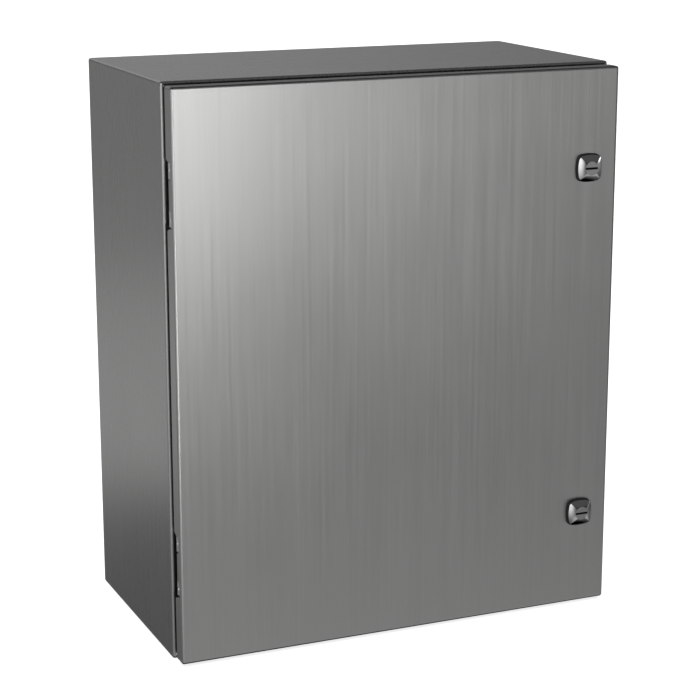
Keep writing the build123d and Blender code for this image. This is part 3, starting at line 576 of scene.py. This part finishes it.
def thread_rings(radius, pitch, start, end, steps):
    """Rings of a screw thread from start to end, run out into a chamfer at the end."""
    rings = []
    rows = math.ceil((end - start) / pitch * ROWS_PER_PITCH)
    for row in range(rows + 1):
        height = start + (end - start) * row / rows
        chamfer = max(0.0, pitch - (end - height)) * 0.6
        ring = []
        for k, point in enumerate(circle(1, height, steps)):
            groove = 0.55 * pitch * abs(2 * ((height / pitch - k / steps) % 1) - 1)
            reach = min(radius - groove, radius - chamfer)
            ring.append(Vector((point.x * reach, point.y * reach, height)))
        rings.append(ring)
    return rings


def threaded_stud(radius, pitch, length, foot, foot_height):
    """Stud on a chamfered round foot: plain neck, thread and chamfered end."""
    neck = foot_height + 0.6
    base = [(foot, 0), (foot, foot_height - 0.5), (foot - 0.5, foot_height)]
    base += [(radius, foot_height), (radius, neck)]
    rings = [circle(r, h, STUD_STEPS) for r, h in base]
    return loft(rings + thread_rings(radius, pitch, neck + 0.2, length, STUD_STEPS))


def nut(flats, thickness, bore, flange=0.0):
    """Hexagon nut with chamfered corners, a countersunk bore and, if wanted, a flange at its foot."""
    steps = 72
    half = flats / 2
    sixth = math.pi / 3
    angles = [2 * math.pi * k / steps for k in range(steps)]
    reach = [half / math.cos((a + sixth / 2) % sixth - sixth / 2) for a in angles]

    def ring(radii, heights):
        return [Vector((r * math.cos(a), r * math.sin(a), h)) for a, r, h in zip(angles, radii, heights)]

    slope = math.tan(math.radians(30))
    shoulder = [thickness - (r - 0.96 * half) * slope for r in reach]
    foot = 1.4 if flange else 0.0
    rings = [ring(reach, [foot] * steps), ring(reach, shoulder)]
    rings += [circle(0.96 * half, thickness, steps), circle(bore + 0.5, thickness, steps)]
    rings += [circle(bore, thickness - 0.5, steps), circle(bore, foot, steps)]
    shape = loft(rings, loop=True)
    if not flange:
        return shape
    profile = [(bore, 0), (flange - 0.2, 0), (flange, 0.3), (flange, 0.8), (0.9 * half, 1.6), (bore, 1.6)]
    return joined([shape, lathe(profile, steps, loop=True)])


def box_of(node):
    """Lowest and highest corner of a CAD node, in millimetres."""
    low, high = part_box(node)
    return Vector(low) / MM, Vector(high) / MM


def fasteners():
    """Studs, nuts and cam screws, with threads, chamfers and flanges, in place of the plain ones."""
    low, high = box_of("panel_studs")
    foot = 8.0
    corners = [(x, z) for x in (low.x + foot, high.x - foot) for z in (low.z + foot, high.z - foot)]
    shoulder = high.y - (PANEL_FRONT + PANEL_T)
    stud = threaded_stud(4.0, 1.25, high.y - low.y, foot, shoulder)
    studs = [stand(stud, (x, high.y, z), FORWARD) for x, z in corners]
    piece("threaded_panel_studs", joined(studs), "bright_steel", "enclosure", ["panel_studs"])
    nuts = [stand(nut(13, 8, 4.05, 9), (x, PANEL_FRONT, z), FORWARD) for x, z in corners]
    piece("flanged_panel_nuts", joined(nuts), "zinc_steel", "enclosure", ["panel_nuts"])

    for node, body, way in (("body_ground_stud", "enclosure", FORWARD), ("door_ground_stud", "door", BACK)):
        low, high = box_of(node)
        start = high.y if way is FORWARD else low.y
        middle = (low + high) / 2
        stud = threaded_stud(3.0, 1.0, high.y - low.y, 6.0, 2.0)
        piece("threaded_" + node, stand(stud, (middle.x, start, middle.z), way), "bright_steel", body, [node])
    low, high = box_of("body_ground_nut")
    middle = (low + high) / 2
    seat = (middle.x, high.y, middle.z)
    piece("flanged_ground_nut", stand(nut(10, 5, 3.05, 7), seat, FORWARD), "zinc_steel", "enclosure",
          ["body_ground_nut"])

    nuts = [stand(nut(25, 5, BARREL_BORE_R), (x, DOOR_SKIN, z), BACK) for x, z in LATCHES.values()]
    piece("chamfered_latch_nuts", joined(nuts), "zinc_steel", "door", ["latch_nuts"])
    head_height = 4.6
    head = nut(8, head_height, 0.8)
    washer = [(0.5, 0), (6.3, 0), (6.5, 0.25), (6.5, 0.9), (6.2, 1.2), (0.5, 1.2)]
    shank = lathe([(2.4, -10), (2.4, 0.5)])
    cam_screw = joined([head, lathe(washer, loop=True), shank])
    for side, (x, z) in LATCHES.items():
        node = "latch_cam_screw_" + side
        _, high = box_of(node)
        screw = stand(cam_screw, (x, high.y - head_height, z), BACK)
        piece("cam_screw_" + side, screw, "zinc_steel", side + "_latch", [node])


# ---- latches -------------------------------------------------------------------------------------
CROWN = {"half": 15.3, "bulge": 2.0, "corner": 6.5, "height": 9.0, "flat": 0.8, "vault": 22.0}
CROWN_BELLY_R = 75.0  # each facet also curves a little along its length
LIP_W = 1.0  # rubber lip that wraps the crown's edge
OUTLINE_STEPS = 96
SEAL_T = 1.0
BARREL_R = 10.0
DRIVER_BORE_R = 7.55


def bowed_square(inset=0.0):
    """Outline of the crown, as points that are evenly spread in the direction they face."""
    tip = CROWN["half"] - CROWN["bulge"]
    bow = (tip ** 2 + CROWN["bulge"] ** 2) / (2 * CROWN["bulge"])
    offset = bow - CROWN["half"]
    inner = bow - CROWN["corner"]
    reach = (math.sqrt(2 * inner ** 2 - offset ** 2) - offset) / 2
    side_ends = math.atan2(reach, reach + offset)
    outline = []
    for k in range(OUTLINE_STEPS):
        facing = 2 * math.pi * k / OUTLINE_STEPS
        quarter = round(facing / (math.pi / 2)) * math.pi / 2
        turned = facing - quarter
        if abs(turned) <= side_ends:
            spot = Vector(((bow - inset) * math.cos(turned) - offset, (bow - inset) * math.sin(turned)))
        else:
            corner = CROWN["corner"] - inset
            spot = Vector((reach, math.copysign(reach, turned)))
            spot += Vector((corner * math.cos(turned), corner * math.sin(turned)))
        spot.rotate(Matrix.Rotation(quarter, 2))
        outline.append(spot)
    return outline


def crown_depth(x, z):
    """How far the crown's surface lies below its apex: two crossed vaults and a flat."""
    def vault(across, along):
        arch = CROWN["vault"] - math.sqrt(CROWN["vault"] ** 2 - across ** 2)
        return arch + along ** 2 / (2 * CROWN_BELLY_R)

    depth, crease = vault(x, z), 0.12
    for other in (vault(z, x), CROWN["flat"]):
        depth = (depth + other + math.sqrt((depth - other) ** 2 + crease ** 2)) / 2
    return depth


def crown_height(spot):
    """Height of the crown's surface above its foot, at a spot of its outline or inside it."""
    return CROWN["height"] - crown_depth(spot.x, spot.y)


def latch_crown(barrel_length):
    """Die-cast crown with four facets round a flat, on a threaded barrel. Local Z runs forward."""
    inner = bowed_square(LIP_W)
    facing = [math.atan2(spot.y, spot.x) for spot in inner]
    bore = [Vector((DRIVER_BORE_R * math.cos(a), DRIVER_BORE_R * math.sin(a))) for a in facing]
    rings = []
    spokes = 12
    for k in range(spokes + 1):
        spots = [b.lerp(i, k / spokes) for b, i in zip(bore, inner)]
        rings.append([Vector((s.x, s.y, crown_height(s))) for s in spots])
    draft = 1.01
    for heights in ([crown_height(spot) - 0.4 for spot in inner], [0] * OUTLINE_STEPS):
        rings.append([Vector((s.x * draft, s.y * draft, height)) for s, height in zip(inner, heights)])
    rings.append([Vector((BARREL_R * math.cos(a), BARREL_R * math.sin(a), 0)) for a in facing])
    for ring in thread_rings(BARREL_R, 1.5, 0.2, barrel_length, OUTLINE_STEPS):
        rings.append([Vector((v.x, v.y, -v.z)) for v in ring])
    for depth in (-barrel_length, CROWN["height"] - CROWN["flat"] - 2):
        rings.append([Vector((spot.x, spot.y, depth)) for spot in bore])
    return loft(rings, loop=True)


def seal_lip():
    """Rounded rubber lip round a crown's edge. Local Z runs forward."""
    outer, inner = bowed_square(), bowed_square(LIP_W + 0.05)
    foot, rows = 0.6, 8
    rings = [[Vector((spot.x, spot.y, 0)) for spot in inner]]
    for k in range(rows + 1):
        turn = math.pi / 2 * k / rows
        ring = []
        for near, far in zip(inner, outer):
            spot = near.lerp(far, math.sin(turn))
            top = crown_height(near) - 0.1
            ring.append(Vector((spot.x, spot.y, foot + (top - foot) * math.cos(turn))))
        rings.append(ring)
    rings.append([Vector((spot.x, spot.y, 0)) for spot in outer])
    return loft(rings, loop=True)


def seal_pad():
    """Rubber pad under a crown, with a soft lip that shows round it. Local Z runs forward."""
    lip = 0.3
    rings = []
    for grow, height in ((lip, 0.0), (lip, 0.6), (lip - 0.1, 0.88), (0.0, 0.98), (-1.5, 1.0)):
        rings.append([Vector((spot.x, spot.y, height)) for spot in bowed_square(-grow)])
    angles = [math.atan2(point.y, point.x) for point in rings[-1]]
    for height in (SEAL_T, 0.0):
        rings.append([Vector((BARREL_BORE_R * math.cos(a), BARREL_BORE_R * math.sin(a), height))
                      for a in angles])
    return loft(rings, loop=True)


def latches():
    """Crowns, their rubber lips and the pads under them."""
    pads = []
    for side, (x, z) in LATCHES.items():
        foot = (x, DOOR_FRONT - SEAL_T, z)
        _, high = box_of("latch_housing_" + side)
        crown = latch_crown(high.y - foot[1])
        piece("latch_crown_" + side, stand(crown, foot, FORWARD), "polished_chrome", "door",
              ["latch_housing_" + side], sharp=30)
        pads.append(stand(seal_pad(), (x, DOOR_FRONT, z), FORWARD))
        piece("latch_lip_" + side, stand(seal_lip(), foot, FORWARD), "black_rubber", "door", sharp=30)
    pad = piece("latch_seal_pads", joined(pads), "black_rubber", "door", ["latch_seals"])


# ---- gasket and welds ----------------------------------------------------------------------------
def rounded_loop(half_w, half_h, radius):
    """Points (x, z, outward x, outward z) along a rounded rectangle."""
    spacing, corner_steps = 6.0, 8
    spots = []
    corners = [(1, 1), (-1, 1), (-1, -1), (1, -1)]
    for index, (sx, sz) in enumerate(corners):
        cx, cz = sx * (half_w - radius), sz * (half_h - radius)
        start = index * math.pi / 2
        for k in range(corner_steps + 1):
            a = start + math.pi / 2 * k / corner_steps
            spots.append((cx + radius * math.cos(a), cz + radius * math.sin(a), math.cos(a), math.sin(a)))
        nx, nz = corners[(index + 1) % 4]
        end = (nx * (half_w - radius), nz * (half_h - radius))
        out = (math.cos(start + math.pi / 2), math.sin(start + math.pi / 2))
        begin = (cx + radius * out[0], cz + radius * out[1])
        finish = (end[0] + radius * out[0], end[1] + radius * out[1])
        pieces = int(math.dist(begin, finish) / spacing)
        for k in range(1, pieces):
            share = k / pieces
            x, z = (first + (last - first) * share for first, last in zip(begin, finish))
            spots.append((x, z, *out))
    return spots


def gasket():
    """Poured foam bead on the door, with the groove that the collar has pressed into it."""
    low, high = box_of("door_gasket")
    half, height = 4.0, high.y - low.y
    section = [(-half, 0), (-half + 0.1, 0.45), (-half + 0.7, 0.78)]
    section += [(-2.3, 0.95), (-1.3, 0.97), (-0.8, 0.90)]
    section += [(0, 0.885)] + [(-across, level) for across, level in reversed(section)]
    rings = []
    for x, z, out_x, out_z in rounded_loop(high.x - half, high.z - half, 9.0):
        wobble = noise.noise(Vector((x, z, 0)) * 0.03)
        ripple = noise.noise(Vector((x, z, 50)) * 0.35)
        ring = []
        for across, level in section:
            spread = across * (0.955 + 0.03 * wobble + 0.012 * ripple)
            rise = height * level * (0.985 + 0.012 * ripple)
            ring.append(Vector((x + out_x * spread, low.y + rise, z + out_z * spread)))
        rings.append(ring)
    bead = piece("foam_gasket", loft(rings, loop=True), "black_foam", "door", ["door_gasket"], sharp=60)


def weld_bead(start, end, width, proud):
    """Rippled bead from start to end on a surface that faces forward, with its ends tapered."""
    start, end = Vector(start), Vector(end)
    along = (end - start).normalized()
    across = along.cross(FORWARD)
    length = (end - start).length
    ring_spacing, points = 0.4, 10
    count = int(length / ring_spacing)
    rings = []
    for k in range(count + 1):
        spot = start + along * (length * k / count)
        taper = math.sqrt(max(0.02, min(1.0, k / 4, (count - k) / 4)))
        scallop = 0.82 + 0.18 * abs(math.sin(math.pi * k / 4))
        ring = []
        for j in range(points):
            a = 2 * math.pi * j / points
            rise = max(-0.25, proud * math.sin(a)) * scallop
            aside = width / 2 * taper * scallop * math.cos(a)
            ring.append(spot + across * aside + FORWARD * rise * taper)
        rings.append(ring)
    return loft(rings)


def welds():
    """Seam welds at the mitred corners of the front flange, and tacks at the hinge leaves' ends."""
    beads = []
    collar_in = COLLAR_INSET - 0.6
    flange = BOX_HALF_W - FLANGE_CORNER_IN, BOX_HALF_H - FLANGE_CORNER_IN
    collar = BOX_HALF_W - collar_in, BOX_HALF_H - collar_in
    for sx in (-1, 1):
        for sz in (-1, 1):
            start = (sx * flange[0], BOX_FRONT, sz * flange[1])
            end = (sx * collar[0], BOX_FRONT, sz * collar[1])
            beads.append(weld_bead(start, end, 2.6, 0.4))
    for node in ("hinge_body_leaf_upper", "hinge_body_leaf_lower"):
        low, high = box_of(node)
        for z in (low.z - 0.5, high.z + 0.5):
            start, end = ((x, BOX_FRONT, z) for x in HINGE_TACK)
            beads.append(weld_bead(start, end, 2.4, 1.0))
    piece("weld_beads", joined(beads), "bright_steel", "enclosure", sharp=60)


# ---- fuses ---------------------------------------------------------------------------------------
def plate(outline, thickness):
    """A flat outline in local X and Z, given its thickness along local Y. The outline is convex."""
    half = thickness / 2
    return loft([[Vector((x, y, z)) for x, z in outline] for y in (-half, half)])


def fuses():
    """Blade fuses: a tube let into two end caps with crimped grooves, and a blade on each cap."""
    cap_height, crimp, fillet = 12.0, 0.35, 3
    length, end = FUSE_HALF - cap_height, FUSE_HALF
    for number, x in enumerate(POLES, 1):
        foot = (x, FUSE_Y, FUSE_Z)
        tube = [(0.5, -FUSE_HALF + 2), (13.1, -FUSE_HALF + 2), (13.2, -length - 0.1), (13.7, -length + 0.1)]
        tube += [(13.95, -length + 0.6), (14.0, -length + 3), (13.9, -length + 3.3)]
        tube += [(radius, -height) for radius, height in reversed(tube)]
        piece(f"glass_tube_{number}", stand(lathe(tube, 64), foot, UP), "fuse_glassfibre", f"fuse_{number}",
              [f"fuse_tube_{number}"], sharp=50)
        shapes = []
        for way in (1, -1):
            cap = [(13.3, length), (14.3, length), (14.5, length + 0.3), (14.5, length + 2)]
            for groove in (length + 2.6, length + 5.6):
                cap += [(14.5, groove - 0.6), (14.5 - crimp, groove), (14.5, groove + 0.6)]
            cap += [(14.5, end - 1.4), (14.3, end - 0.5), (13.7, end), (6.5, end), (6.3, end - 0.4)]
            cap += [(0.5, end - 0.4), (0.5, end - 2), (13.3, end - 2)]
            shapes.append(stand(lathe(cap, 64, loop=True), foot, UP * way))
            tip, half_w = end + FUSE_BLADE_LENGTH, FUSE_BLADE_HALF_W
            outline = [(-half_w, end - 1), (half_w, end - 1), (half_w, tip - fillet)]
            for a in (math.pi / 2 * k / 5 for k in range(1, 6)):
                corner = (half_w - fillet + fillet * math.cos(a), tip - fillet + fillet * math.sin(a))
                outline.append(corner)
            outline += [(-across, height) for across, height in reversed(outline[2:])]
            points, faces = plate([(across, height * way) for across, height in outline], FUSE_BLADE_T)
            shapes.append(([Vector((p.y, p.x, p.z)) + Vector(foot) for p in points], faces))
        piece(f"crimped_caps_{number}", joined(shapes), "tin_plate", f"fuse_{number}",
              [f"fuse_caps_{number}"], sharp=35, bevel=0.25)


# ---- lever grip ----------------------------------------------------------------------------------
def grip():
    """Moulded grip with finger ribs, on the end of the lever."""
    low, high = box_of("handle_grip")
    middle_x = (low.x + high.x) / 2
    half_t = (high.x - low.x) / 2
    half_w, straight, reach = 12.0, 23.0, 88.0
    ribbed_half, rib_height, rib_pitch = 19, 0.7, 5
    rows, points = 150, 48
    angle = math.radians(LEVER_ANGLE)
    along = Vector((0, -math.cos(angle), math.sin(angle)))
    across = Vector((0, math.sin(angle), math.cos(angle)))
    centre = Vector((middle_x, LEVER_AXIS_Y, 0)) + along * reach
    rings = []
    for row in range(rows + 1):
        u = -math.cos(math.pi * row / rows) * (straight + half_w - 0.02)
        beyond = max(0.0, abs(u) - straight) / half_w
        wide = half_w * math.sqrt(1 - beyond ** 2)
        end = straight + half_w - abs(u)
        thick = half_t * (1 - 0.5 * (1 - min(1.0, end / 5)) ** 2) * min(1.0, 0.25 + wide / 4)
        rib = 0.0
        if abs(u) < ribbed_half:
            rib = rib_height * (0.5 + 0.5 * math.cos(2 * math.pi * u / rib_pitch)) ** 3
        ring = []
        for k in range(points):
            a = 2 * math.pi * k / points
            cos, sin = math.cos(a), math.sin(a)
            edge = math.copysign(abs(cos) ** 0.5, cos) * (wide - rib * 0.5)
            face = math.copysign(abs(sin) ** 0.5, sin) * (thick - rib)
            ring.append(centre + along * u + across * edge + Vector((face, 0, 0)))
        rings.append(ring)
    piece("ribbed_grip", loft(rings), "black_grip", "handle", ["handle_grip"], sharp=60)


# ---- studio ------------------------------------------------------------------------------------
def floor():
    """A pale floor that fades to white. It takes soft shadows and isn't mirrored in the metal."""
    bpy.ops.mesh.primitive_plane_add(size=60, location=(0, 0, CAD_BOX[0][2]))
    plane = bpy.context.object
    plane.name = "floor"
    white, pale = (1.0, 1.0, 1.0), (0.8, 0.8, 0.8)
    s = Shader("floor", Base_Color=pale, Roughness=0.9, Emission_Color=white, Emission_Strength=0.8)
    plane.data.materials.append(s.material)
    plane.visible_glossy = False
    plane.visible_diffuse = False


def panel_light(name, place, aim, width, height, radiance, lit):
    """A rectangular lamp that the camera doesn't see and that lights only the nodes in lit."""
    data = bpy.data.lights.new(name, "AREA")
    data.shape = "RECTANGLE"
    data.size = width
    data.size_y = height
    data.energy = width * height * math.pi * radiance
    lamp = bpy.data.objects.new(name, data)
    lamp.location = place
    lamp.rotation_euler = (Vector(aim) - Vector(place)).to_track_quat("-Z", "Y").to_euler()
    lamp.visible_camera = False
    bpy.context.scene.collection.objects.link(lamp)
    receivers = bpy.data.collections.new("lit_by_" + name)
    for node in lit:
        receivers.objects.link(NODES[node])
    lamp.light_linking.receiver_collection = receivers


# Soft windows of light in the world, in degrees: azimuth (0 is +Y, 90 is +X), elevation, half width,
# half height, the share of the half size that is soft edge; then the strength.
WINDOWS = {
    "front_left": (228, 12, 42, 44, 0.8, 1.3),
    "front_right": (148, -8, 14, 8, 0.6, 0.16),
    "front_low": (150, -14, 70, 20, 0.5, 0.085),
    "front_lower": (150, -34, 70, 14, 0.5, 0.3),
    "left_back": (-30, -7, 60, 12, 0.15, 0.222),
    "left_back_brim": (-30, -15, 60, 4.5, 0.6, 0.115),
    "back": (20, 6, 30, 8, 0.8, 0.1),
    "back_high": (0, 25, 60, 18, 0.8, 0.6),
    "right": (85, 2, 50, 18, 0.5, 0.2),
    "right_strip": (94, 3, 18, 8, 0.5, 2.0),
    "sky": (0, 50, 360, 50, 0.5, 0.08),
    "ground": (0, -34, 360, 26, 0.5, 0.112),
}

# Light panels, in metres: place, the point they face, width, height, radiance and what they light.
PANELS = {
    "key_high": ((-0.30, -2.2, 0.6), (0, -0.28, 0.6), 0.6, 0.6, 5.8, ["door"]),
    "key_middle": ((-0.30, -2.2, 0.15), (0, -0.28, 0.15), 0.6, 0.6, 5.8, ["door"]),
    "key_side": ((-2.2, -1.5, 0.3), (-0.25, -0.27, 0.0), 0.6, 0.9, 11.0, HINGE_NODES),
    "key_low": ((-0.60, -1.95, -0.3), (0, -0.28, -0.3), 0.6, 0.6, 4.6, ["door"]),
}


def surround():
    """A world that is white to the camera and holds the soft windows for everything else."""
    world = bpy.data.worlds.new("studio")
    bpy.context.scene.world = world
    world.use_nodes = True
    tree = world.node_tree

    def calc(operation, *values):
        node = tree.nodes.new("ShaderNodeMath")
        node.operation = operation
        for socket, value in zip(node.inputs, values):
            if isinstance(value, bpy.types.NodeSocket):
                tree.links.new(value, socket)
            else:
                socket.default_value = value
        return node.outputs[0]

    def within(angle, centre, half, soft):
        """1 within half a width of the centre, falling smoothly to 0 at its edge."""
        away = calc("ABSOLUTE", calc("WRAP", calc("SUBTRACT", angle, centre), math.pi, -math.pi))
        ramp = tree.nodes.new("ShaderNodeMapRange")
        ramp.interpolation_type = "SMOOTHSTEP"
        tree.links.new(away, ramp.inputs[0])
        for index, number in enumerate((half * (1 - soft), half, 1, 0), 1):
            ramp.inputs[index].default_value = number
        return ramp.outputs[0]

    split = tree.nodes.new("ShaderNodeSeparateXYZ")
    tree.links.new(tree.nodes.new("ShaderNodeTexCoord").outputs["Generated"], split.inputs[0])
    turn = calc("ARCTAN2", split.outputs[0], split.outputs[1])
    rise = calc("ARCSINE", split.outputs[2])
    total = tree.nodes.new("ShaderNodeLightPath").outputs["Is Camera Ray"]
    for azimuth, elevation, half_width, half_height, soft, strength in WINDOWS.values():
        across = within(turn, math.radians(azimuth), math.radians(half_width), soft)
        upward = within(rise, math.radians(elevation), math.radians(half_height), soft)
        total = calc("ADD", total, calc("MULTIPLY", calc("MULTIPLY", across, upward), strength))
    tree.links.new(total, tree.nodes["Background"].inputs["Color"])


def studio():
    """Floor, surround, light panels and a soft wash from above that isn't mirrored in the metal."""
    floor()
    surround()
    for name, panel in PANELS.items():
        panel_light(name, *panel)
    wash = bpy.data.objects.new("wash", bpy.data.lights.new("wash", "SUN"))
    wash.data.energy = WASH_STRENGTH
    wash.data.angle = math.radians(WASH_SPREAD)
    wash.visible_glossy = False
    bpy.context.scene.collection.objects.link(wash)
    bpy.context.scene.view_settings.view_transform = "Standard"


def camera():
    """The camera of the main view, with no roll."""
    azimuth, elevation = math.radians(CAMERA_AZIMUTH), math.radians(CAMERA_ELEVATION)
    level = math.cos(elevation)
    forward = Vector((math.sin(azimuth) * level, math.cos(azimuth) * level, -math.sin(elevation)))
    data = bpy.data.cameras.new("camera")
    data.lens = LENS
    data.sensor_width = 36
    eye = bpy.data.objects.new("camera", data)
    eye.location = CAMERA_AT
    eye.rotation_euler = forward.to_track_quat("-Z", "Y").to_euler()
    bpy.context.scene.collection.objects.link(eye)
    bpy.context.scene.camera = eye


dress_nodes()
fasteners()
latches()
gasket()
welds()
fuses()
grip()
studio()
camera()
